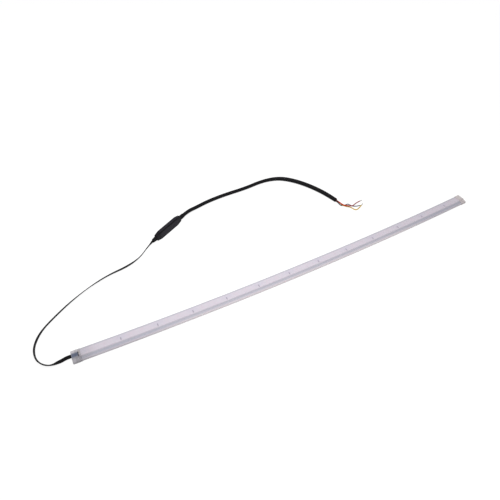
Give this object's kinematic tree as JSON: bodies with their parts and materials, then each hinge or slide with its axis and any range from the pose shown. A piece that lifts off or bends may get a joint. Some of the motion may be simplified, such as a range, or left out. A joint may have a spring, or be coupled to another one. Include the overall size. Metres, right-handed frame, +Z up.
{
  "type": "daytime running light",
  "caption": "Flexible milky silicone light strip with a mounting flange, end caps and taped base, a flat ribbon to a slim in-line controller, and a supply lead with stripped wires.",
  "frame": {"origin": "middle of the strip on the taped underside, in the middle of the strip's width", "axes": "+X along the strip away from the ribbon, +Y across it from the flange to the light body, +Z up"},
  "size_m": [0.6395, 0.1983, 0.0128],
  "materials": {
    "milky_silicone": "translucent satin",
    "cap_silicone": "translucent satin",
    "foam_tape": "matt foam",
    "flex_circuit": "white solder mask",
    "white_chip": "gloss",
    "amber_chip": "gloss",
    "resistor_body": "matt",
    "solder": "bright solder",
    "ribbon_insulation": "satin",
    "controller_shell": "fine satin",
    "board_laminate": "solder mask",
    "chip_body": "matt",
    "capacitor_body": "matt",
    "boot_rubber": "satin",
    "tinned_copper": "stranded",
    "lead_jacket": "satin",
    "red_insulation": "satin",
    "black_insulation": "satin",
    "yellow_insulation": "satin"
  },
  "bodies": {
    "root": {"light_sleeve": "milky_silicone", "cable_end_cap": "cap_silicone", "blind_end_cap": "cap_silicone", "mounting_tape": "foam_tape", "led_board": "flex_circuit", "white_leds": "white_chip", "amber_leds": "amber_chip", "dropping_resistors": "resistor_body", "ribbon_tail": "ribbon_insulation", "solder_joints": "solder", "controller_tray": "controller_shell", "controller_lid": "controller_shell", "controller_board": "board_laminate", "control_chip": "chip_body", "power_transistors": "chip_body", "input_diode": "chip_body", "filter_capacitors": "capacitor_body", "chip_resistors": "resistor_body", "ribbon_boot": "boot_rubber", "lead_boot": "boot_rubber", "ribbon_core_ends": "tinned_copper", "lead_core_ends": "tinned_copper", "ribbon_cable": "ribbon_insulation", "lead_sheath": "lead_jacket", "red_wire": "red_insulation", "black_wire": "black_insulation", "yellow_wire": "yellow_insulation", "red_wire_tip": "tinned_copper", "black_wire_tip": "tinned_copper", "yellow_wire_tip": "tinned_copper"}
  },
  "joints": []
}
